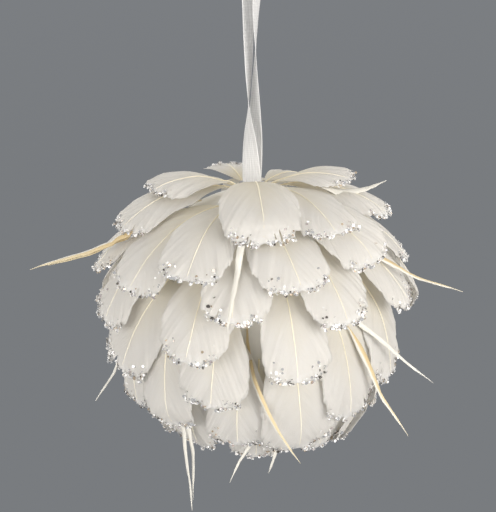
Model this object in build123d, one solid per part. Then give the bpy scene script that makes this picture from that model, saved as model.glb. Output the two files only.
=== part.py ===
"""Feather ball ornament on an organza ribbon loop, in millimetres.

The origin is the hang point, inside the top of the ribbon loop. +Z is up and the front faces -Y.
Directions on the ball are a polar angle down from the crown and an azimuth from the front towards +X.
"""

from build123d import *
from math import asin, atan2, cos, radians, sin
import os

# Foam ball, hung below the origin
foam_radius = 40.0
hang_drop = 80.0
ball_z = -(hang_drop + foam_radius)

# Organza ribbon: two strands in one loop, closed round the bridge of the crown pin
ribbon_width = 7.0
ribbon_thickness = 0.35
ribbon_pin_gap = 0.3
loop_inner_radius = 2.6

# Crown pin: a U of wire whose bridge stands above the foam, with both legs pushed into it
wire_diameter = 1.0
pin_side_gap = 0.7
pin_foam_gap = 1.05
pin_depth = 16.0
pin_bend = 1.3
pin_span = ribbon_width + 2 * pin_side_gap + wire_diameter
pin_stand = wire_diameter / 2 + ribbon_pin_gap + ribbon_thickness + pin_foam_gap
bridge_z = -hang_drop + pin_stand

# Stations along each strand: share of the hang drop, distance from the centre line, and turn of the pair about it
swivel = (0.65, 1.55, 112)
upper_strand = [(0.15, 1.8, 60), (0.35, 1.65, 76), (0.5125, 1.6, 92), swivel]
lower_strand = [swivel, (0.7625, 1.5, 140), (0.875, 1.4, 160)]

# Feathers
vane_thickness = 0.45
shaft_thickness = 0.9
quill_width = 1.3
feather_gap = 0.55
seat_gap = 0.35
# share of the length and share of the full width, from the bare quill to the rounded tip
vane_outline = [
    (0.14, 0.0), (0.22, 0.3), (0.36, 0.64), (0.55, 0.92),
    (0.74, 1.0), (0.88, 0.86), (0.96, 0.58), (1.0, 0.22),
]

# Spikes: stripped quills that stick out between the feathers
spike_thickness = 0.8
spike_outline = [
    (0.1, 0.85), (0.2, 0.92), (0.3, 1.0), (0.4, 1.0), (0.5, 0.95),
    (0.6, 0.88), (0.7, 0.78), (0.8, 0.62), (0.9, 0.42), (1.0, 0.14),
]

# Each feather: name, root polar and azimuth, tip polar and azimuth, how far its tip stands off the foam, width
underside_row = [
    ("a", 128, 45, 173, 45, 9, 26),
    ("b", 128, 117, 173, 117, 9, 26),
    ("c", 128, 189, 173, 189, 9, 26),
    ("d", 128, -99, 173, -99, 9, 26),
    ("e", 128, -27, 173, -27, 9, 26),
]
bottom_row = [
    ("a", 118, 4, 163, 4, 23, 21),
    ("b", 118, 95, 164, 90, 22, 22),
    ("c", 118, 180, 164, 178, 22, 22),
    ("d", 118, -95, 164, -90, 22, 22),
]
sixth_row = [
    ("a", 101, -34, 153, -44, 22, 24),
    ("b", 101, -6, 150, -10, 21, 25),
    ("c", 101, 42, 154, 60, 24, 26),
    ("d", 101, 76, 150, 84, 22, 24),
    ("e", 101, 105, 151, 108, 22, 26),
    ("f", 101, 150, 151, 152, 22, 26),
    ("g", 101, -160, 151, -158, 22, 26),
    ("h", 101, -105, 151, -106, 22, 26),
]
fifth_row = [
    ("a", 82, -58, 131, -66, 21, 22),
    ("b", 84, -36, 138, -44, 22, 25),
    ("c", 82, -12, 127, -18, 20, 26),
    ("d", 92, 16, 151, 34, 22, 29),
    ("e", 74, 34, 135, 56, 22, 28),
    ("f", 83, 92, 134, 95, 21, 26),
    ("g", 83, 130, 134, 132, 21, 27),
    ("h", 83, 172, 134, 174, 21, 27),
    ("i", 83, -142, 134, -140, 21, 27),
    ("j", 83, -102, 134, -101, 21, 27),
]
fourth_row = [
    ("a", 62, -34, 116, -64, 20, 26),
    ("b", 60, -18, 108, -25, 20, 28),
    ("c", 64, 13, 116, 18, 20, 28),
    ("d", 66, 58, 120, 76, 21, 27),
    ("e", 64, 112, 116, 114, 20, 27),
    ("f", 64, 152, 116, 153, 20, 27),
    ("g", 64, -167, 116, -166, 20, 27),
    ("h", 64, -128, 116, -126, 20, 27),
    ("i", 64, -88, 116, -94, 20, 27),
]
third_row = [
    ("a", 46, -46, 98, -68, 20, 27),
    ("b", 45, -3, 93, -7, 20, 26),
    ("c", 46, 24, 95, 36, 20, 29),
    ("d", 46, 56, 92, 74, 21, 27),
    ("e", 46, 95, 96, 97, 21, 27),
    ("f", 46, 134, 96, 136, 20, 27),
    ("g", 46, 175, 96, 176, 20, 27),
    ("h", 46, -146, 96, -144, 20, 27),
    ("i", 46, -106, 96, -106, 20, 27),
]
second_row = [
    ("a", 29, -25, 85, -49, 20, 27),
    ("b", 29, -14, 79, -24, 20, 27),
    ("c", 30, 6, 82, 18, 20, 29),
    ("d", 28, 24, 75, 51, 20, 28),
    ("e", 29, 84, 78, 92, 20, 27),
    ("f", 29, 122, 80, 126, 20, 27),
    ("g", 29, 162, 80, 164, 20, 27),
    ("h", 29, -158, 80, -158, 20, 27),
    ("i", 29, -112, 80, -116, 20, 27),
    ("j", 29, -72, 81, -84, 20, 26),
]
lower_crown = [
    ("a", 11, -50, 64, -67, 20, 26),
    ("b", 12, 22, 63, 36, 20, 27),
    ("c", 11, 76, 60, 80, 21, 25),
    ("d", 11, 130, 62, 132, 19, 26),
    ("e", 11, 178, 62, 180, 19, 26),
    ("f", 11, -125, 58, -118, 19, 26),
]
upper_crown = [
    ("a", 9, -60, 45, -67, 20, 26),
    ("b", 9, 68, 42, 71, 22, 24),
    ("c", 9, 145, 46, 142, 18, 24),
    ("d", 9, -155, 33, -160, 16, 24),
    ("e", 9, 2, 64, 5, 16, 29),
]

# Each spike: node, root polar and azimuth, tip polar and azimuth, how far its tip stands off, width, sideways bend
lowest_spikes = [
    ("spikes_lower", 126, 14, 162, -10, 34, 1.8, -4),
    ("spikes_lower", 128, 20, 165, 20, 27, 1.6, 0),
]
lower_spikes = [
    ("spikes_lower", 116, -34, 158, -46, 43, 1.8, 0),
    ("spikes_lower", 116, -38, 158, -54, 43, 1.8, 3),
]
middle_spikes = [
    ("spikes_front", 92, -1, 150, 18, 30, 2.4, 6),
    ("spikes_right", 98, 44, 129, 68, 42, 2.2, 0),
    ("spikes_left", 98, -66, 123, -76, 33, 1.8, 0),
]
upper_spikes = [("spikes_right", 82, 30, 115, 78, 38, 1.8, 0)]
high_spikes = [("spikes_right", 64, 54, 89, 83, 41, 2.0, 0)]
top_spikes = [
    ("spikes_left", 50, -46, 82, -86, 39, 2.4, 0),
    ("spikes_left", 56, -50, 84, -88, 34, 2.0, 0),
    ("spikes_front", 42, -1, 94, -8, 20, 2.0, 0),
]
crown_spikes = [("spikes_right", 36, 58, 50, 88, 27, 2.0, 0)]

# Bottom of the ball first, because each row lies over the one below it
layers = [
    ("underside_feathers", underside_row, True),
    ("bottom_feathers", bottom_row, True),
    ("", lowest_spikes, True),
    ("sixth_row_feathers", sixth_row, True),
    ("", lower_spikes, True),
    ("fifth_row_feather_", fifth_row, False),
    ("", middle_spikes, True),
    ("fourth_row_feather_", fourth_row, False),
    ("", upper_spikes, True),
    ("third_row_feather_", third_row, False),
    ("", high_spikes, True),
    ("second_row_feather_", second_row, False),
    ("", top_spikes, True),
    ("lower_crown_feather_", lower_crown, False),
    ("", crown_spikes, True),
    ("upper_crown_feather_", upper_crown, False),
]


def towards(polar, azimuth):
    down, round_ = radians(polar), radians(azimuth)
    return Vector(sin(down) * sin(round_), -sin(down) * cos(round_), cos(down))


class Strip:
    """A feather or spike that starts on the foam and leans outwards over an arc of the ball."""

    straight = False  # whether its surface runs straight from station to station

    def __init__(self, root, tip, stand_off, outline, thickness, bend=0.0):
        self.first = towards(*root)
        last = towards(*tip)
        self.side = self.first.cross(last).normalized()
        self.ahead = self.side.cross(self.first)
        self.span = atan2(last.dot(self.ahead), last.dot(self.first))
        self.outline = outline  # (share of the length, half width)
        self.middle, self.edge = thickness
        self.seat_radius = foam_radius + seat_gap + self.middle / 2
        self.tip_radius, self.bend = foam_radius + stand_off, radians(bend)
        self.lifts = [0.0] * len(outline)

    def between(self, share, values):
        for n in range(1, len(self.outline)):
            low, high = self.outline[n - 1][0], self.outline[n][0]
            if share <= high:
                return values[n - 1] + (values[n] - values[n - 1]) * (share - low) / (high - low)
        return values[-1]

    def half_width(self, share):
        return self.between(share, [half for _, half in self.outline])

    def natural_radius(self, share):
        return self.seat_radius + (self.tip_radius - self.seat_radius) * share

    def radius(self, share):
        return self.natural_radius(share) + self.between(share, self.lifts)

    def direction(self, share, offset):
        """Unit vector to a point a little way to one side of the shaft."""
        along = share * self.span
        across = self.bend * share**2 + offset / self.natural_radius(share)
        forward = self.first * cos(along) + self.ahead * sin(along)
        return forward * cos(across) + self.side * sin(across)

    def top_over(self, direction):
        """The outer radius of this strip where a direction meets it, with room beside it, or 0."""
        along = atan2(direction.dot(self.ahead), direction.dot(self.first))
        share = along / self.span
        margin = feather_gap / self.tip_radius / self.span
        if not -margin <= share <= 1 + margin:
            return 0.0
        share = min(max(share, 0.0), 1.0)
        across = asin(max(-1.0, min(1.0, direction.dot(self.side)))) - self.bend * share**2
        offset = abs(across) * self.natural_radius(share)
        if offset > self.half_width(share) + feather_gap:
            return 0.0
        return self.radius(share) + self.middle / 2

    def seat_on(self, others):
        """Raise each station until the strip clears what already lies below it."""
        steps = 40
        needed = []
        for n in range(steps + 1):
            share = n / steps
            half = self.half_width(share)
            tops = [
                other.top_over(self.direction(share, half * part / 3))
                for part in range(-3, 4)
                for other in others
            ]
            short = max(tops, default=0.0) + feather_gap + self.middle / 2 - self.natural_radius(share)
            needed.append((share, max(short, 0.0)))
        shares = [share for share, _ in self.outline]
        for n, share in enumerate(shares):
            low = shares[max(n - 1, 0)]
            high = shares[min(n + 1, len(shares) - 1)]
            self.lifts[n] = max(lift for at, lift in needed if low <= at <= high or abs(at - share) <= 1 / steps)

    def section(self, share, half, lift):
        radius = self.natural_radius(share) + lift
        above, below = [], []
        for offset in (-half, 0.0, half):
            outward = self.direction(share, offset)
            thick = self.middle if offset == 0.0 else self.edge
            above.append(outward * (radius + thick / 2))
            below.append(outward * (radius - thick / 2))
        return Wire(
            [
                Edge.make_three_point_arc(*above),
                Edge.make_line(above[2], below[2]),
                Edge.make_three_point_arc(*reversed(below)),
                Edge.make_line(below[0], above[0]),
            ]
        )

    def solid(self):
        sections = [
            self.section(share, half, lift) for (share, half), lift in zip(self.outline, self.lifts)
        ]
        return Pos(0, 0, ball_z) * Solid.make_loft(sections, ruled=self.straight)


class Spike(Strip):
    """A strip that runs straight from its root to its tip wherever nothing is in the way."""

    straight = True

    def natural_radius(self, share):
        before, after = sin(self.span * share), sin(self.span * (1 - share))
        straight = sin(self.span) / (after / self.seat_radius + before / self.tip_radius)
        return max(straight, self.seat_radius)


def feather(row):
    _, root_polar, root_azimuth, tip_polar, tip_azimuth, stand_off, width = row
    quill = quill_width / 2
    outline = [(0.0, quill)] + [
        (share, quill + (width / 2 - quill) * part) for share, part in vane_outline
    ]
    root, tip = (root_polar, root_azimuth), (tip_polar, tip_azimuth)
    return Strip(root, tip, stand_off, outline, (shaft_thickness, vane_thickness))


def spike(row):
    _, root_polar, root_azimuth, tip_polar, tip_azimuth, stand_off, width, bend = row
    outline = [(0.0, width * 0.4)] + [(share, width / 2 * part) for share, part in spike_outline]
    root, tip = (root_polar, root_azimuth), (tip_polar, tip_azimuth)
    return Spike(root, tip, stand_off, outline, (spike_thickness, vane_thickness), bend)


def covering():
    """Every feather and spike by node, seated from the bottom of the ball upwards."""
    placed, nodes = [], {}
    for prefix, rows, together in layers:
        make = feather if prefix else spike
        for row in rows:
            strip = make(row)
            strip.seat_on(placed)
            placed.append(strip)
            name = row[0] if not prefix else prefix if together else prefix + row[0]
            nodes.setdefault(name, []).append(strip)
    return nodes


def crown_pin():
    foot_z = -hang_drop - pin_depth
    reach = pin_span / 2
    path = FilletPolyline(
        (-reach, 0, foot_z), (-reach, 0, bridge_z), (reach, 0, bridge_z), (reach, 0, foot_z),
        radius=pin_bend,
    )
    return sweep(Plane(origin=path @ 0, z_dir=path % 0) * Circle(wire_diameter / 2), path)


def foam_ball():
    ball = Pos(0, 0, ball_z) * Sphere(foam_radius)
    leg = Cylinder(wire_diameter / 2, pin_depth, align=(Align.CENTER, Align.CENTER, Align.MIN))
    for side in (-1, 1):
        ball -= Pos(side * pin_span / 2, 0, -hang_drop - pin_depth) * leg
    return ball


def strand_section(share, distance, turn):
    """The ribbon's cross-section, flat across the direction that the pair is turned to."""
    place = Pos(0, 0, -hang_drop * share) * Rot(0, 0, turn) * Pos(0, -distance, 0)
    return (place * Rectangle(ribbon_width, ribbon_thickness)).wire()


def strand(stations):
    one = Solid.make_loft([strand_section(*station) for station in stations], ruled=True)
    return [one, Rot(0, 0, 180) * one]


def half_ring(inner, length):
    """Half of a short tube along X, with its open side down."""
    ring = Circle(inner + ribbon_thickness) - Circle(inner)
    size = 4 * (inner + ribbon_thickness)
    ring &= Pos(0, size / 2) * Rectangle(size, size)
    return extrude(Plane.YZ * ring, length / 2, both=True)


def ribbon_upper():
    top = (loop_inner_radius / hang_drop, loop_inner_radius + ribbon_thickness / 2, upper_strand[0][2])
    bight = Pos(0, 0, -loop_inner_radius) * Rot(0, 0, top[2]) * half_ring(loop_inner_radius, ribbon_width)
    return bight.fuse(*strand([top] + upper_strand))


def ribbon_lower():
    inner = wire_diameter / 2 + ribbon_pin_gap
    end = (-bridge_z / hang_drop, inner + ribbon_thickness / 2, 180)
    fold = Pos(0, 0, bridge_z) * Rot(0, 180, 0) * half_ring(inner, ribbon_width)
    return fold.fuse(*strand(lower_strand + [end]))


def save(name, shape):
    shape.label = name
    export_step(shape, f"parts/{name}.step")


os.makedirs("parts", exist_ok=True)
save("foam_ball", foam_ball())
save("crown_pin", crown_pin())
save("ribbon_upper", ribbon_upper())
save("ribbon_lower", ribbon_lower())
for node, strips in covering().items():
    solids = [strip.solid() for strip in strips]
    save(node, solids[0] if len(solids) == 1 else Compound(children=solids))
    print(node, "lifted at most", round(max(max(strip.lifts) for strip in strips), 1), "mm")
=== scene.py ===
import math
import random

import bmesh
import bpy
from mathutils import Euler, Matrix, Vector, noise
from mathutils.bvhtree import BVHTree


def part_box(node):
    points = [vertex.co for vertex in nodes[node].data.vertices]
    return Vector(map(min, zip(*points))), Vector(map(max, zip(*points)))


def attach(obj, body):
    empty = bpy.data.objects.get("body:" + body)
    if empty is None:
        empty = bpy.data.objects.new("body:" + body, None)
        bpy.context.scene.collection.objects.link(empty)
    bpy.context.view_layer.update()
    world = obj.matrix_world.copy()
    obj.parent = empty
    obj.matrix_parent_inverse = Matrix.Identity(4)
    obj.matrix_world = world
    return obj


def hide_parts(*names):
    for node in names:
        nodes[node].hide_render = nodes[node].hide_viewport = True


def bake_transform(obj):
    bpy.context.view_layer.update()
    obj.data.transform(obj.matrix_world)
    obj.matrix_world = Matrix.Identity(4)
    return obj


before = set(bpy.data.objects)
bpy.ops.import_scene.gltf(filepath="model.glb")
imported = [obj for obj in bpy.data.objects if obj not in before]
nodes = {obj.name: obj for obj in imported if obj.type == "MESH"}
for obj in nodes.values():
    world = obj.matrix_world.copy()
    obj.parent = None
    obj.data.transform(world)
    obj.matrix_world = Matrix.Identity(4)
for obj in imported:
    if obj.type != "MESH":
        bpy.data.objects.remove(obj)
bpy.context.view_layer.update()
mm = 0.001

foamLow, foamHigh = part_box("foam_ball")
ballCentre = (foamLow + foamHigh) / 2
print("frame loaded:", len(nodes), "nodes")


# ---- reading feathers and spikes from the frame

reading = {
    "stations": 24,           # slices along each strip
    "sweepStep": 0.25,        # degrees between rays across a strip
    "sweepReach": 18.0,       # degrees either side
    "endAngle": 0.006,        # radians from an end that still count as the end
    "restThickness": 0.9 * mm,
    "nearEnd": 0.006,         # share kept clear of each end
    "skin": 0.05 * mm,        # a second ray starts this far inside
    "weld": 0.001 * mm,
}


def endDirection(outward, other):
    most = max(direction.angle(other) for direction in outward)
    end = Vector()
    for direction in outward:
        if direction.angle(other) > most - reading["endAngle"]:
            end += direction
    return end.normalized()


def mixed(values, place):
    low = min(int(place), len(values) - 2)
    return values[low] + (values[low + 1] - values[low]) * (place - low)


class Strip:  # a feather or spike that leans away from the foam over an arc of the ball
    def __init__(self, corners, faces):
        self.tree = BVHTree.FromPolygons(corners, faces)
        outward = [(corner - ballCentre).normalized() for corner in corners]
        farthest = max(range(len(corners)), key=lambda n: (corners[n] - ballCentre).length)
        self.first = endDirection(outward, outward[farthest])
        last = endDirection(outward, self.first)
        self.side = self.first.cross(last).normalized()
        self.ahead = self.side.cross(self.first)
        self.span = self.first.angle(last)
        self.centres, self.halves, self.radii = [], [], []
        for n in range(reading["stations"] + 1):
            self.measure(min(max(n / reading["stations"], reading["nearEnd"]), 1 - reading["nearEnd"]))
        self.length = self.span * sum(self.radii) / len(self.radii)
        self.tipRadius = self.radii[-1]

    def direction(self, share, lateral):
        along = share * self.span
        forward = self.first * math.cos(along) + self.ahead * math.sin(along)
        return forward * math.cos(lateral) + self.side * math.sin(lateral)

    def measure(self, share):
        step = math.radians(reading["sweepStep"])
        middle = self.centres[-1] if self.centres else 0.0
        count = int(reading["sweepReach"] / reading["sweepStep"])
        hits = []
        for n in range(-count, count + 1):
            direction = self.direction(share, middle + n * step)
            if self.tree.ray_cast(ballCentre, direction)[0] is not None:
                hits.append(middle + n * step)
        if not hits:
            hits = [middle]
        centre = (hits[0] + hits[-1]) / 2
        direction = self.direction(share, centre)
        inner = self.tree.ray_cast(ballCentre, direction)[3]
        if inner is None:
            radius = self.radii[-1]
        else:
            outer = self.tree.ray_cast(ballCentre + direction * (inner + reading["skin"]), direction)[3]
            radius = inner + (outer + reading["skin"] if outer else reading["restThickness"]) / 2
        self.centres.append(centre)
        self.radii.append(radius)
        self.halves.append((hits[-1] - hits[0] + step) / 2 * radius)

    def point(self, share, across, out=0.0):
        place = min(max(share, 0.0), 1.0) * reading["stations"]
        radius = mixed(self.radii, place)
        lateral = mixed(self.centres, place) + across / radius
        return ballCentre + self.direction(share, lateral) * (radius + out)


def readStrips(node):
    bm = bmesh.new()
    bm.from_mesh(nodes[node].data)
    bmesh.ops.remove_doubles(bm, verts=bm.verts, dist=reading["weld"])
    bm.verts.index_update()
    bm.faces.index_update()
    done, strips = set(), []
    for seed in bm.verts:        # in the mesh's own order, so that every run gives the same strips
        if seed in done:
            continue
        island, edge = {seed}, [seed]
        while edge:
            for link in edge.pop().link_edges:
                for vert in link.verts:
                    if vert not in island:
                        island.add(vert)
                        edge.append(vert)
        done |= island
        island = sorted(island, key=lambda vert: vert.index)
        place = {vert: n for n, vert in enumerate(island)}
        faces = {face for vert in island for face in vert.link_faces}
        ordered = sorted(faces, key=lambda face: face.index)
        strips.append(Strip([v.co.copy() for v in island], [[place[v] for v in f.verts] for f in ordered]))
    bm.free()
    return strips


# ---- mesh helpers

def floatLayers(bm, *names):
    return [bm.verts.layers.float.new(name) for name in names]


def paint(vert, layers, values):
    for layer, value in zip(layers, values):
        vert[layer] = value


def newObject(name, bm, finish, body="ball"):
    bmesh.ops.recalc_face_normals(bm, faces=bm.faces)
    mesh = bpy.data.meshes.new(name)
    bm.to_mesh(mesh)
    bm.free()
    mesh.shade_smooth()
    return addPiece(name, mesh, finish, body)


def addPiece(name, data, finish, body="ball"):
    piece = bpy.data.objects.new(name, data)
    bpy.context.scene.collection.objects.link(piece)
    data.materials.append(finish.material)
    if body:
        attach(piece, body)
    return piece


def thicken(piece, thickness):
    wall = piece.modifiers.new("wall", "SOLIDIFY")
    wall.thickness = thickness
    wall.offset = 0.0


# ---- finishes

class Signal:  # what comes out of a shader node, with sums written as sums
    def __init__(self, finish, socket):
        self.finish, self.socket = finish, socket

    def sum(self, operation, first, second):
        return self.finish.node("Math", {"operation": operation}, {0: first, 1: second})

    def __add__(self, other): return self.sum("ADD", self, other)
    def __radd__(self, other): return self.sum("ADD", other, self)
    def __sub__(self, other): return self.sum("SUBTRACT", self, other)
    def __rsub__(self, other): return self.sum("SUBTRACT", other, self)
    def __mul__(self, other): return self.sum("MULTIPLY", self, other)
    def __rmul__(self, other): return self.sum("MULTIPLY", other, self)


class Finish:
    def __init__(self, name):
        self.material = bpy.data.materials.new(name)
        self.material.use_nodes = True
        self.tree = self.material.node_tree
        self.tree.nodes.clear()

    def node(self, kind, settings=None, sockets=None, out=0):
        made = self.tree.nodes.new("ShaderNode" + kind)
        for name, value in (settings or {}).items():
            if name == "stops":
                ramp = made.color_ramp.elements
                while len(ramp) < len(value):
                    ramp.new(0.5)
                for stop, (place, colour) in zip(ramp, value):
                    stop.position, stop.color = place, colour + (1.0,)
            else:
                setattr(made, name, value)
        for name, value in (sockets or {}).items():
            if isinstance(value, Signal):
                self.tree.links.new(value.socket, made.inputs[name])
            else:
                made.inputs[name].default_value = value
        return Signal(self, made.outputs[out]) if made.outputs else None

    def attribute(self, name):
        return self.node("Attribute", {"attribute_name": name}, out="Fac")

    def between(self, value, low, high, start=0.0, end=1.0):
        return self.node("MapRange", {"clamp": True}, {0: value, 1: low, 2: high, 3: start, 4: end})

    def blend(self, amount, first, second, kind="MIX"):
        first, second = (c + (1.0,) if isinstance(c, tuple) else c for c in (first, second))
        settings = {"data_type": "RGBA", "blend_type": kind}
        return self.node("Mix", settings, {0: amount, 6: first, 7: second}, out=2)

    def noise(self, place, scale, detail=2.0, roughness=0.5):
        return self.node("TexNoise", {}, {"Vector": place, "Scale": scale, "Detail": detail,
                                          "Roughness": roughness})

    def objectPlace(self):
        return self.node("TexCoord", out="Object")

    def bump(self, height, strength, distance):
        return self.node("Bump", {}, {"Height": height, "Strength": strength, "Distance": distance})

    def shine(self, **sockets):
        named = {name.replace("_", " "): value for name, value in sockets.items()}
        return self.node("BsdfPrincipled", {}, named)

    def end(self, surface):
        self.node("OutputMaterial", {}, {"Surface": surface})
        return self


def makeFeatherFinish():
    finish = Finish("goose feather")
    along, across, barb, tint = (finish.attribute(name) for name in ("along", "across", "barb", "tint"))
    strands = finish.node("CombineXYZ", {}, {0: barb * 150.0, 1: across * 1.6, 2: tint * 40.0})
    streak = finish.noise(strands, 1.0, 3.0, 0.65)
    clumps = finish.node("CombineXYZ", {}, {0: barb * 26.0, 1: across * 0.8, 2: tint * 60.0})
    clump = finish.noise(clumps, 1.0, 2.0)
    aside = finish.node("Math", {"operation": "ABSOLUTE"}, {0: across})
    # cream towards the root and the shaft: partly the feathers' own warm tone, partly painted shade where
    # the roots lie under the feathers above
    creamAndRootShade = finish.between(along + aside * 0.4, 0.95, 0.3) * finish.between(tint, 0.0, 1.0, 0.3, 0.8)
    colour = finish.blend(creamAndRootShade, (0.935, 0.92, 0.893), (0.88, 0.815, 0.63))
    shade = finish.between(streak, 0.3, 0.62, 0.0, 0.16)
    colour = finish.blend(shade, colour, (0.84, 0.81, 0.74))
    frost = finish.between(along + finish.noise(finish.objectPlace(), 700.0) * 0.16, 1.0, 1.07)
    colour = finish.blend(frost * 0.6, colour, (1.0, 1.0, 1.0))
    colour = finish.blend(finish.between(clump, 0.35, 0.7, 0.0, 0.18), colour, (0.98, 0.975, 0.96))
    grain = finish.bump(streak + clump * 0.6, 0.55, 0.22 * mm)
    sheet = finish.shine(Base_Color=colour, Roughness=0.55, Normal=grain, Sheen_Weight=0.25,
                         Sheen_Roughness=0.4)
    glow = finish.node("BsdfTranslucent", {}, {"Color": colour, "Normal": grain})
    return finish.end(finish.node("MixShader", {}, {0: 0.5, 1: sheet, 2: glow}))


def makeShaftFinish():
    finish = Finish("feather shaft")
    place = finish.objectPlace()
    centre = tuple(ballCentre)
    radius = finish.node("VectorMath", {"operation": "DISTANCE"}, {0: place, 1: centre}, out="Value")
    speckle = finish.noise(place, 900.0, 2.0)
    colour = finish.blend(finish.between(radius, 0.044, 0.06), (0.85, 0.75, 0.5), (0.9, 0.85, 0.71))
    colour = finish.blend(speckle * 0.25, colour, (0.96, 0.93, 0.85))
    surface = finish.shine(Base_Color=colour, Roughness=0.38, Normal=finish.bump(speckle, 0.2, 0.05 * mm))
    return finish.end(surface)


def makeSpikeFinish():
    finish = Finish("stripped quill")
    along, across, warmth = (finish.attribute(name) for name in ("along", "across", "warmth"))
    grainPlace = finish.node("CombineXYZ", {}, {0: across * 9.0, 1: along * 3.0, 2: warmth * 30.0})
    grain = finish.noise(grainPlace, 1.0, 3.0, 0.6)
    white = finish.blend(grain * 0.4, (0.9, 0.885, 0.83), (0.8, 0.76, 0.64))
    golden = finish.blend(grain, (0.84, 0.71, 0.43), (0.68, 0.5, 0.25))
    golden = finish.blend(finish.between(along, 0.5, 1.0), golden, (0.86, 0.77, 0.55))
    edge = finish.between(across + grain * 0.3, -0.35, 0.1)      # a pale strip along one side
    colour = finish.blend(finish.between(warmth, 0.3, 0.6) * edge, white, golden)
    ridges = finish.bump(grain, 0.4, 0.1 * mm)
    surface = finish.shine(Base_Color=colour, Roughness=0.42, Normal=ridges)
    glow = finish.node("BsdfTranslucent", {}, {"Color": colour})
    return finish.end(finish.node("MixShader", {}, {0: 0.2, 1: surface, 2: glow}))


def makeGlitterFinish():
    finish = Finish("glitter flakes")
    tint = finish.attribute("tint")
    # the dark stop is a painted reflection: flakes that would mirror dark surroundings are coloured dark
    stops = [(0.0, (0.97, 0.97, 0.97)), (0.48, (0.93, 0.925, 0.91)), (0.78, (0.22, 0.2, 0.18)),
             (0.89, (0.84, 0.68, 0.5)), (0.95, (0.9, 0.8, 0.78))]
    colour = finish.node("ValToRGB", {"stops": stops}, {0: tint})
    finish.tree.nodes[-1].color_ramp.interpolation = "CONSTANT"
    glassy = finish.between(tint, 0.479, 0.481) * finish.between(tint, 0.781, 0.779)
    surface = finish.shine(Base_Color=colour, Metallic=finish.between(glassy, 0.0, 1.0, 0.7, 0.0),
                           Roughness=finish.between(glassy, 0.0, 1.0, 0.14, 0.3), Coat_Weight=0.6)
    return finish.end(surface)


def makeOrganzaFinish():
    finish = Finish("organza")
    across, along = finish.attribute("across"), finish.attribute("along")
    warp = finish.node("Math", {"operation": "SINE"}, {0: across * organza["warpTurns"]})
    weft = finish.node("Math", {"operation": "SINE"}, {0: along * organza["weftTurns"]})
    unevenPlace = finish.node("CombineXYZ", {}, {0: across * 7.0, 1: along * 0.12, 2: 0.0})
    uneven = finish.noise(unevenPlace, 1.0, 3.0)
    edge = finish.node("Math", {"operation": "ABSOLUTE"}, {0: across})
    selvage = finish.between(edge, 0.86, 0.93)
    threads = finish.between(warp, -0.4, 0.9, 0.0, 0.08) + finish.between(weft, -0.4, 0.9, 0.0, 0.05)
    cover = organza["cover"] + threads + finish.between(uneven, 0.35, 0.65, -0.1, 0.14) + selvage * 0.3
    colour = finish.blend(uneven, (0.8, 0.8, 0.795), (0.73, 0.73, 0.728))
    weave = finish.bump(warp + weft, 0.3, 0.06 * mm)
    surface = finish.shine(Base_Color=colour, Roughness=0.45, Alpha=finish.between(cover, 0.0, 1.0),
                           Normal=weave, Sheen_Weight=0.1)
    return finish.end(surface)


def makeFoamFinish():
    finish = Finish("expanded foam")
    place = finish.objectPlace()
    bead = finish.node("TexVoronoi", {"feature": "F1"}, {"Vector": place, "Scale": 420.0})
    mottle = finish.noise(place, 90.0)
    colour = finish.blend(mottle, (0.86, 0.84, 0.78), (0.92, 0.91, 0.87))
    beads = finish.bump(1.0 - bead, 0.5, 0.4 * mm)
    return finish.end(finish.shine(Base_Color=colour, Roughness=0.75, Normal=beads))


def makeWireFinish():
    finish = Finish("steel wire")
    place = finish.objectPlace()
    drawn = finish.noise(place, 1400.0, 3.0)
    colour = finish.blend(drawn, (0.66, 0.66, 0.67), (0.5, 0.5, 0.51))
    surface = finish.shine(Base_Color=colour, Metallic=1.0, Normal=finish.bump(drawn, 0.15, 0.03 * mm),
                           Roughness=finish.between(drawn, 0.3, 0.7, 0.28, 0.42))
    return finish.end(surface)


# ---- camera

view = {
    "elevation": 8.0,
    "distance": 0.95,
    "widthAtBall": 0.18848,
    "sensor": 36.0,
    "aim": (-0.0015, 0.0, 0.0138),     # from the ball's centre
}

aim = ballCentre + Vector(view["aim"])
tilt = math.radians(view["elevation"])
camera = bpy.data.objects.new("camera", bpy.data.cameras.new("camera"))
bpy.context.scene.collection.objects.link(camera)
camera.location = aim + Vector((0, -math.cos(tilt), math.sin(tilt))) * view["distance"]
camera.rotation_euler = (aim - camera.location).to_track_quat("-Z", "Y").to_euler()
camera.data.sensor_fit = "HORIZONTAL"
camera.data.sensor_width = view["sensor"]
camera.data.lens = view["sensor"] * view["distance"] / view["widthAtBall"]
bpy.context.scene.camera = camera
print("camera placed")


# ---- organza ribbon: one band up, over the top of the loop and down again, closed round the pin

organza = {
    # height, distance from the centre line, turn of the pair about it, in millimetres and degrees
    "stations": [(-77.8, 0.975, 180), (-70, 1.3, 160), (-61, 1.3, 140), (-52, 1.25, 112),
                 (-41, 1.25, 92), (-28, 1.3, 76), (-12, 1.6, 60), (-2.6, 2.775, 60)],
    "foldBottom": -78.775,
    "crown": 0.175,
    "length": 0.163,
    "width": 0.007,
    "columns": 14,
    "samples": 8,
    "cup": 0.3 * mm,
    "ripple": 0.12 * mm,
    "wall": 0.1 * mm,
    "cover": 0.66,
    "lean": 16.0,             # degrees that each strand turns away from the other
    "warpTurns": 50.0,
    "weftTurns": 9.0,
    "endRows": 10,            # rows over which the cup and ripple fade out at the pin
    "topHeight": -0.02,       # above this a point on the centre line takes the top's turn
    "joinStart": -0.020,      # heights between which the twist of the two bodies is shared out
    "joinEnd": -0.058,
    "exit": -0.0785,
}


def strandPoint(height, distance, turn, side):
    angle = math.radians(turn)
    return Vector((math.sin(angle) * distance * side, -math.cos(angle) * distance * side, height)) * mm


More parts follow.
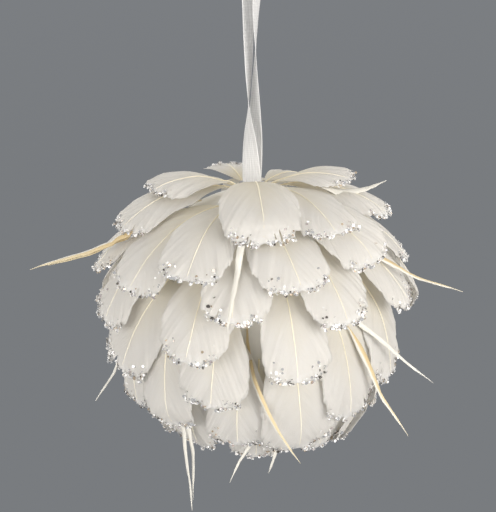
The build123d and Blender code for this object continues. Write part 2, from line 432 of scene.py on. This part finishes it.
def splineLine(points, samples):  # points along the route's own smooth line
    route = bpy.data.curves.new("route", "CURVE")
    route.dimensions = "3D"
    spline = route.splines.new("NURBS")
    spline.points.add(len(points) - 1)
    for place, point in zip(spline.points, points):
        place.co = (*point, 1.0)
    spline.order_u = 3
    spline.use_endpoint_u = True
    spline.resolution_u = samples
    carrier = bpy.data.objects.new("route", route)
    bpy.context.scene.collection.objects.link(carrier)
    line = [vert.co.copy() for vert in bpy.data.meshes.new_from_object(carrier).vertices]
    bpy.data.objects.remove(carrier)
    return line


def buildRibbon(finish):
    low, top = organza["stations"][0], organza["stations"][-1]
    up = [(organza["foldBottom"],) + low[1:]] + organza["stations"] + [(organza["crown"],) + top[1:]]
    foot = Vector((0, 0, organza["foldBottom"] * mm))
    route = [foot] + [strandPoint(*station, 1) for station in up]
    route += [strandPoint(*station, -1) for station in reversed(up)] + [foot]
    line = splineLine(route, organza["samples"])
    measured = sum((b - a).length for a, b in zip(line, line[1:]))
    print("ribbon line:", len(line), "points,", round(measured, 5), "m")

    bm = bmesh.new()
    layers = floatLayers(bm, "across", "along")
    last = len(line) - 1
    bmesh.ops.create_grid(bm, x_segments=organza["columns"], y_segments=last, size=1.0)
    for vert in bm.verts:
        share = (vert.co.y + 1) / 2
        row = round(share * last)
        lateral = vert.co.x
        point = line[row]
        side = 1 if row <= last / 2 else -1
        turn = math.radians(top[2] if point.z > organza["topHeight"] else low[2])
        if math.hypot(point.x, point.y) > 0.05 * mm:
            turn = math.atan2(point.x * side, -point.y * side)
        height = min(1.0, max(0.0, point.z / foot.z))
        turn += math.radians(organza["lean"]) * side * math.sin(math.pi * height)
        flat = Vector((math.cos(turn), math.sin(turn), 0))
        ahead = (line[min(row + 1, last)] - line[max(row - 1, 0)]).normalized()
        outward = flat.cross(ahead).normalized()
        wave = noise.noise(Vector((lateral * 0.9, point.z * 60, side * 3.0)))
        lift = organza["cup"] * (1 - lateral ** 2) * 0.6 + organza["ripple"] * wave
        ends = min(1.0, min(row, last - row) / organza["endRows"])
        vert.co = point + flat * (lateral * organza["width"] / 2) + outward * lift * ends
        paint(vert, layers, (lateral, share * measured / mm))
    ribbon = newObject("ribbon_loop", bm, finish, body=None)
    thicken(ribbon, organza["wall"])
    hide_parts("ribbon_upper", "ribbon_lower")
    [tuple(point) for point in line]
    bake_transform(ribbon)


buildRibbon(makeOrganzaFinish())
print("ribbon made")


# ---- feathers

vane = {
    "columns": 24,
    "rows": 72,
    "start": 0.08,            # shares of the feather's length that carry barbs
    "end": 0.985,
    "widest": (0.7, 0.84),
    "rise": 0.85,             # lower where a feather widens straight from its root
    "crownRise": 0.34,
    "fall": (2.3, 5.0),
    "wider": 1.03,
    "narrower": 0.16,         # most that one side is narrower than the other
    "spread": 1.03,
    "sweep": 1.6,             # how far barbs run ahead for each step sideways
    "cup": 0.35 * mm,
    "curl": 0.8 * mm,
    "wave": 0.9 * mm,
    "fold": 1.1 * mm,
    "foldCount": 5.5,
    "crease": 0.45 * mm,
    "creaseCount": 15.0,
    "clumpStep": 0.22 * mm,
    "splits": (0, 2),
    "splitDepth": (0.1, 0.3),
    "splitGap": 0.012,
    "roll": {"upper_crown": 0.27, "lower_crown": 0.2, "second_row": 0.08},
    "rollLift": 0.2,
    "droop": {"upper_crown": 4.2 * mm, "lower_crown": 1.5 * mm},
    "sway": 1.1 * mm,
    "ragged": 0.11,           # broken edge, with a fine and a broad wave
    "fineRags": 42,
    "broadRags": 8,
    "lastShare": 1.06,        # as far as a barb may run past the edge
    "barbBend": 1.2,
    "edgeBend": 0.92,
    "waveLength": 3.2,
    "wall": 0.14 * mm,
}
shaftLook = {
    "stations": 16,
    "end": 0.95,
    "radius": 0.31 * mm,
    "tip": 0.35,
    "lift": 0.1 * mm,
}
glitterLook = {
    "flakes": (100, 140),
    "radius": (0.22 * mm, 0.54 * mm),
    "large": 0.12,
    "largeRadius": (0.58 * mm, 0.82 * mm),
    "thickness": 0.07 * mm,
    "reach": 0.52,            # how far down the edges from the tip
    "inward": 0.065,          # how far in from the edge, on average and at most
    "deepest": 0.3,
    "proud": (0.08 * mm, 0.5 * mm),
    "sides": 8,
    "tumble": 0.55,
}
rowNames = ["bottom_feathers", "sixth_row", "fifth_row", "fourth_row", "third_row", "second_row",
            "lower_crown", "upper_crown", "underside_feathers"]


def vaneWidth(share, widest, rise, fall):  # half width as a share of the widest
    if share < widest:
        part = max(0.0, (share - vane["start"]) / (widest - vane["start"]))
        return max(0.04, (1 - (1 - part) ** 2) ** rise)
    return max(0.02, 1 - ((share - widest) / (1 - widest)) ** fall) ** 0.5


class Vane:  # one feather's barbs: each barb leaves the shaft and runs out to the edge
    def __init__(self, strip, seed, row):
        self.strip = strip
        self.roll = vane["roll"].get(row, 0.0) * strip.side.y      # lifts the edge that lies farther back
        self.rand = random.Random(seed)
        self.seed = seed * 7.31
        self.half = max(strip.halves) * vane["spread"]
        self.rollLift = abs(self.roll) * self.half * vane["rollLift"]
        self.swayBy = self.rand.uniform(-1, 1) * vane["sway"]
        self.sides = [vane["wider"] - self.rand.random() * vane["narrower"] for side in (-1, 1)]
        rise = vane["crownRise"] if row.endswith("crown") else vane["rise"]
        self.outline = (self.rand.uniform(*vane["widest"]), rise, self.rand.uniform(*vane["fall"]))
        self.curlBy = self.rand.uniform(0.2, 1.0) * vane["curl"]
        self.droop = vane["droop"].get(row, 0.0) * abs(strip.side.y)
        self.tint = self.rand.random()
        self.edges = [self.edgeShare(n / vane["rows"]) for n in range(vane["rows"] + 1)]
        self.splits = []
        for side in (-1, 1):
            for n in range(self.rand.randint(*vane["splits"])):
                row = int(self.rand.uniform(0.7, 0.97) * vane["rows"])
                self.splits.append((side, row, self.rand.uniform(*vane["splitDepth"])))

    def lift(self, share):
        return self.curlBy * share ** 5 - self.droop * share ** 3

    def rootShare(self, barb):
        return vane["start"] + (vane["end"] - vane["start"]) * barb

    def edgeShare(self, barb):
        root = low = self.rootShare(barb)
        high = 1.0
        ahead = vane["sweep"] * self.half / self.strip.length
        for n in range(20):
            middle = (low + high) / 2
            if middle - root - ahead * vaneWidth(middle, *self.outline) > 0:
                high = middle
            else:
                low = middle
        return low

    def reach(self, barb, side):  # ragged ends, more so towards the tip
        fine = noise.noise(Vector((barb * vane["fineRags"], self.seed, side * 5)))
        broad = noise.noise(Vector((barb * vane["broadRags"], self.seed + 3, side * 5)))
        more = 0.6 + 1.2 * max(0.0, barb - 0.7) * 3.3
        return 1 + vane["ragged"] * (fine * 0.55 + broad * 1.1) * more - 0.02

    def clump(self, barb, side):
        count = sum(1 for s, row, depth in self.splits if s == side and row < barb * vane["rows"])
        return ((count * 0.618 + self.seed) % 1.0 - 0.5) * 2

    def place(self, lateral, barb):
        side = -1 if lateral < 0 else 1
        a = min(abs(lateral), vane["lastShare"])
        row = barb * vane["rows"]
        for splitSide, splitRow, depth in self.splits:
            opened = (a - (1 - depth)) / depth
            if splitSide == side and opened > 0:
                apart = row - splitRow - 0.5
                push = opened * vane["splitGap"] * math.exp(-abs(apart) / 3.0)
                barb += push if apart > 0 else -push
        barb = min(max(barb, 0.0), 1.0)
        edge = mixed(self.edges, barb * vane["rows"])
        root = self.rootShare(barb)
        reach = self.reach(barb, side)
        share = root + (edge - root) * a ** vane["barbBend"] * reach
        width = vaneWidth(edge, *self.outline) * self.half * self.sides[side > 0]
        across = side * width * a ** vane["edgeBend"] * reach
        wave = noise.noise(Vector((across / mm * 0.11, share * vane["waveLength"], self.seed)))
        out = self.lift(share) - vane["cup"] * a * a
        out += vane["wave"] * wave * share + vane["clumpStep"] * self.clump(barb, side) * a * a
        fold = noise.noise(Vector((barb * vane["foldCount"], self.seed + 9, side * 4 + a * 0.5)))
        crease = noise.noise(Vector((barb * vane["creaseCount"], self.seed + 17, side * 4)))
        out += (vane["fold"] * fold + vane["crease"] * crease) * a * min(1.0, share * 2)
        out += (self.roll * across + self.rollLift) * min(1.0, share * 2)
        return share, across + self.swayBy * math.sin(math.pi * share), out

    def point(self, lateral, barb, proud=0.0):
        share, across, out = self.place(lateral, barb)
        return self.strip.point(share, across, out + proud)

    def addTo(self, bm, layers):
        rows, columns = vane["rows"], vane["columns"]
        made = bmesh.ops.create_grid(bm, x_segments=columns, y_segments=rows, size=1.0)["verts"]
        spare = {}
        for vert in made:
            for face in vert.link_faces:
                middle = face.calc_center_median()
                for side, row, depth in self.splits:
                    if side * middle.x > 1 - depth and int((middle.y + 1) / 2 * rows) == row:
                        spare[face] = True
        bmesh.ops.delete(bm, geom=list(spare), context="FACES_ONLY")
        for vert in made:
            lateral, barb = vert.co.x, (vert.co.y + 1) / 2
            share, across, out = self.place(lateral, barb)
            vert.co = self.strip.point(share, across, out)
            paint(vert, layers, (share, lateral, barb, self.tint))

    def shaftPoints(self):
        for n in range(shaftLook["stations"] + 1):
            share = n / shaftLook["stations"] * shaftLook["end"]
            wave = noise.noise(Vector((0, share * vane["waveLength"], self.seed)))
            out = self.lift(share) + vane["wave"] * wave * share + shaftLook["lift"]
            out += self.rollLift * min(1.0, share * 2)
            point = self.strip.point(share, self.swayBy * math.sin(math.pi * share), out)
            yield point, 1 - (1 - shaftLook["tip"]) * share

    def glitterSpots(self):
        for n in range(self.rand.randint(*glitterLook["flakes"])):
            barb = 1 - glitterLook["reach"] * self.rand.random() ** 1.15
            inward = min(self.rand.expovariate(1 / glitterLook["inward"]), glitterLook["deepest"])
            side = self.rand.choice((-1, 1))
            proud = self.rand.uniform(*glitterLook["proud"])
            yield self.point(side * (1.04 - inward), barb, proud)


def addFlake(bm, layer, point, rand):
    outward = (point - ballCentre).normalized()
    tumble = glitterLook["tumble"]
    turn = Euler([rand.gauss(0, tumble), rand.gauss(0, tumble), rand.uniform(0, 3.14)]).to_matrix()
    facing = (outward.to_track_quat("Z", "Y").to_matrix() @ turn).to_4x4()
    size = "largeRadius" if rand.random() < glitterLook["large"] else "radius"
    radius = rand.uniform(*glitterLook[size])
    made = bmesh.ops.create_cone(bm, cap_ends=True, segments=glitterLook["sides"], radius1=radius,
                                 radius2=radius, depth=glitterLook["thickness"],
                                 matrix=Matrix.Translation(point) @ facing)["verts"]
    tint = rand.random()
    for vert in made:
        vert[layer] = tint


def buildRow(row, seed, finishes):
    members = sorted(name for name in nodes if name.startswith(row))
    vanes = []
    for name in members:
        for strip in readStrips(name):
            vanes.append(Vane(strip, seed + len(vanes), row))

    bm = bmesh.new()
    layers = floatLayers(bm, "along", "across", "barb", "tint")
    for one in vanes:
        one.addTo(bm, layers)
    loose = [vert for vert in bm.verts if not vert.link_faces]
    bmesh.ops.delete(bm, geom=loose, context="VERTS")
    piece = newObject(row + "_vanes", bm, finishes["feather"])
    thicken(piece, vane["wall"])
    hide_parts(*members)

    line = bpy.data.curves.new(row + "_shafts", "CURVE")
    line.dimensions = "3D"
    line.bevel_depth = shaftLook["radius"]
    line.bevel_resolution = 2
    line.use_fill_caps = True
    for one in vanes:
        stations = list(one.shaftPoints())
        spline = line.splines.new("POLY")
        spline.points.add(len(stations) - 1)
        for place, (point, radius) in zip(spline.points, stations):
            place.co, place.radius = (*point, 1.0), radius
    addPiece(row + "_shafts", line, finishes["shaft"])

    bm = bmesh.new()
    layer, = floatLayers(bm, "tint")
    for one in vanes:
        for spot in one.glitterSpots():
            addFlake(bm, layer, spot, one.rand)
    newObject(row + "_glitter", bm, finishes["glitter"]).data.shade_flat()
    print(row, "made:", len(vanes), "feathers")


finishes = {"feather": makeFeatherFinish(), "shaft": makeShaftFinish(), "glitter": makeGlitterFinish()}
for n, row in enumerate(rowNames):
    buildRow(row, 100 * n + 11, finishes)


# ---- spikes: stripped quills that stand out between the feathers

spikeLook = {
    "columns": 6,
    "rows": 40,
    "ridge": 0.4,
    "wall": 0.3 * mm,
    "trim": {"spikes_left": 0.2},   # share of the root that stays hidden
    "shift": 4.2 * mm,              # sideways bow of the long golden one in front
    "slim": 0.68,
    "leafWidth": 1.75,
    "leafSag": 3.2 * mm,
    "tipTaper": 12,
    "rootTaper": 3.2,
    # golden where the tip stands farther than this from the ball's centre, in metres
    "golden": {"spikes_left": 0.076, "spikes_right": 0.0795, "spikes_front": 0.065, "spikes_lower": 1.0},
}


def buildSpikes(node, finish):
    bm = bmesh.new()
    layers = floatLayers(bm, "along", "across", "warmth")
    strips = readStrips(node)
    highest = max(strips, key=lambda strip: strip.point(1.0, 0.0).z)
    trim = spikeLook["trim"].get(node, 0.0)
    for strip in strips:
        warmth = 1.0 if strip.tipRadius > spikeLook["golden"][node] else 0.0
        leaf = node == "spikes_right" and strip is highest     # a broader, curved one
        bow = spikeLook["shift"] if node == "spikes_front" and warmth else 0.0
        slim = spikeLook["slim"] if bow else 1.0
        bow = -bow if strip.side.x > 0 else bow
        made = bmesh.ops.create_grid(bm, x_segments=spikeLook["columns"], y_segments=spikeLook["rows"],
                                     size=1.0)["verts"]
        for vert in made:
            lateral, share = vert.co.x, trim + (1 - trim) * (vert.co.y + 1) / 2
            half = mixed(strip.halves, share * reading["stations"])
            half *= min(1.0, (1.02 - share) * spikeLook["tipTaper"])
            half *= min(1.0, 0.15 + share * spikeLook["rootTaper"]) * slim
            if leaf:
                half *= spikeLook["leafWidth"]
            out = -spikeLook["ridge"] * abs(lateral) * half
            out -= spikeLook["leafSag"] * math.sin(math.pi * share) if leaf else 0.0
            vert.co = strip.point(share, lateral * half + bow * math.sin(math.pi * share ** 0.8), out)
            paint(vert, layers, (share, lateral, warmth))
    piece = newObject(node + "_quills", bm, finish)
    thicken(piece, spikeLook["wall"])
    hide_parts(node)


spikeFinish = makeSpikeFinish()
for node in spikeLook["golden"]:
    buildSpikes(node, spikeFinish)
print("spikes made")


# ---- the foam and the wire keep their own shapes

def repaint(node, finish):
    for slot in nodes[node].material_slots:
        slot.material = finish.material


repaint("foam_ball", makeFoamFinish())
repaint("crown_pin", makeWireFinish())


# ---- studio

studio = {
    "floor": -0.34,
    "reach": 2.4,
    "corner": 1.2,
    "cornerSteps": 12,
    "top": 4.2,
    "turns": 64,
    "floorPaper": (0.191, 0.201, 0.213),
    "wallPaper": (0.222, 0.233, 0.25),
    "wallFrom": 0.5,
    "world": (0.9, 0.885, 0.865),
    "worldStrength": 0.74,
    "lamp": (1.0, 0.965, 0.925),
    "lights": [  # place, size, power
        ((0.95, -0.82, -0.15), 1.0, 19.5),
        ((-0.95, -0.78, -0.38), 1.0, 16.5),
        ((0.1, 0.2, 0.9), 0.8, 1.2),
        ((-0.3, 1.1, 0.3), 1.1, 6.0),
    ],
}


def buildStudio():
    finish = Finish("studio paper")
    place = finish.objectPlace()
    height = finish.node("SeparateXYZ", {}, {0: place}, out="Z")
    wall = finish.between(height, studio["floor"], studio["wallFrom"])
    colour = finish.blend(wall, studio["floorPaper"], studio["wallPaper"])
    fibre = finish.noise(place, 60.0, 3.0)
    colour = finish.blend(fibre * 0.03, colour, (1.0, 1.0, 1.0), "MULTIPLY")
    surface = finish.shine(Base_Color=(0.0, 0.0, 0.0, 1.0), Roughness=0.9, Specular_IOR_Level=0.0,
                           Emission_Color=colour, Emission_Strength=1.0)
    finish.end(surface)

    bm = bmesh.new()
    floor, reach, corner = studio["floor"], studio["reach"], studio["corner"]
    edge = [Vector((0, 0, floor)), Vector((reach, 0, floor))]
    for n in range(1, studio["cornerSteps"] + 1):
        angle = math.radians(90 / studio["cornerSteps"] * n)
        edge.append(Vector((reach + corner * math.sin(angle), 0, floor + corner * (1 - math.cos(angle)))))
    edge.append(Vector((reach + corner, 0, studio["top"])))
    verts = [bm.verts.new(place) for place in edge]
    edges = [bm.edges.new(pair) for pair in zip(verts, verts[1:])]
    bmesh.ops.spin(bm, geom=verts + edges, cent=(0, 0, 0), axis=(0, 0, 1), angle=math.tau,
                   steps=studio["turns"], use_merge=True)
    bmesh.ops.remove_doubles(bm, verts=bm.verts, dist=1e-5)
    bmesh.ops.recalc_face_normals(bm, faces=bm.faces)
    bmesh.ops.reverse_faces(bm, faces=bm.faces)
    mesh = bpy.data.meshes.new("studio")
    bm.to_mesh(mesh)
    bm.free()
    mesh.shade_smooth()
    mesh.materials.append(finish.material)
    bowl = bpy.data.objects.new("studio", mesh)
    bpy.context.scene.collection.objects.link(bowl)
    bowl.visible_diffuse = False      # soft sky light reaches the ornament from all round

    world = bpy.data.worlds.new("studio")
    bpy.context.scene.world = world
    world.use_nodes = True
    sky = world.node_tree.nodes["Background"]
    sky.inputs["Color"].default_value = studio["world"] + (1.0,)
    sky.inputs["Strength"].default_value = studio["worldStrength"]
    for n, (place, size, power) in enumerate(studio["lights"]):
        lamp = bpy.data.lights.new(f"light{n}", "AREA")
        lamp.size, lamp.energy, lamp.color = size, power, studio["lamp"]
        holder = bpy.data.objects.new(f"light{n}", lamp)
        holder.location = place
        holder.rotation_euler = (ballCentre - holder.location).to_track_quat("-Z", "Y").to_euler()
        holder.visible_camera = False
        bpy.context.scene.collection.objects.link(holder)


buildStudio()
bpy.context.scene.view_settings.view_transform = "Standard"
print("studio built")
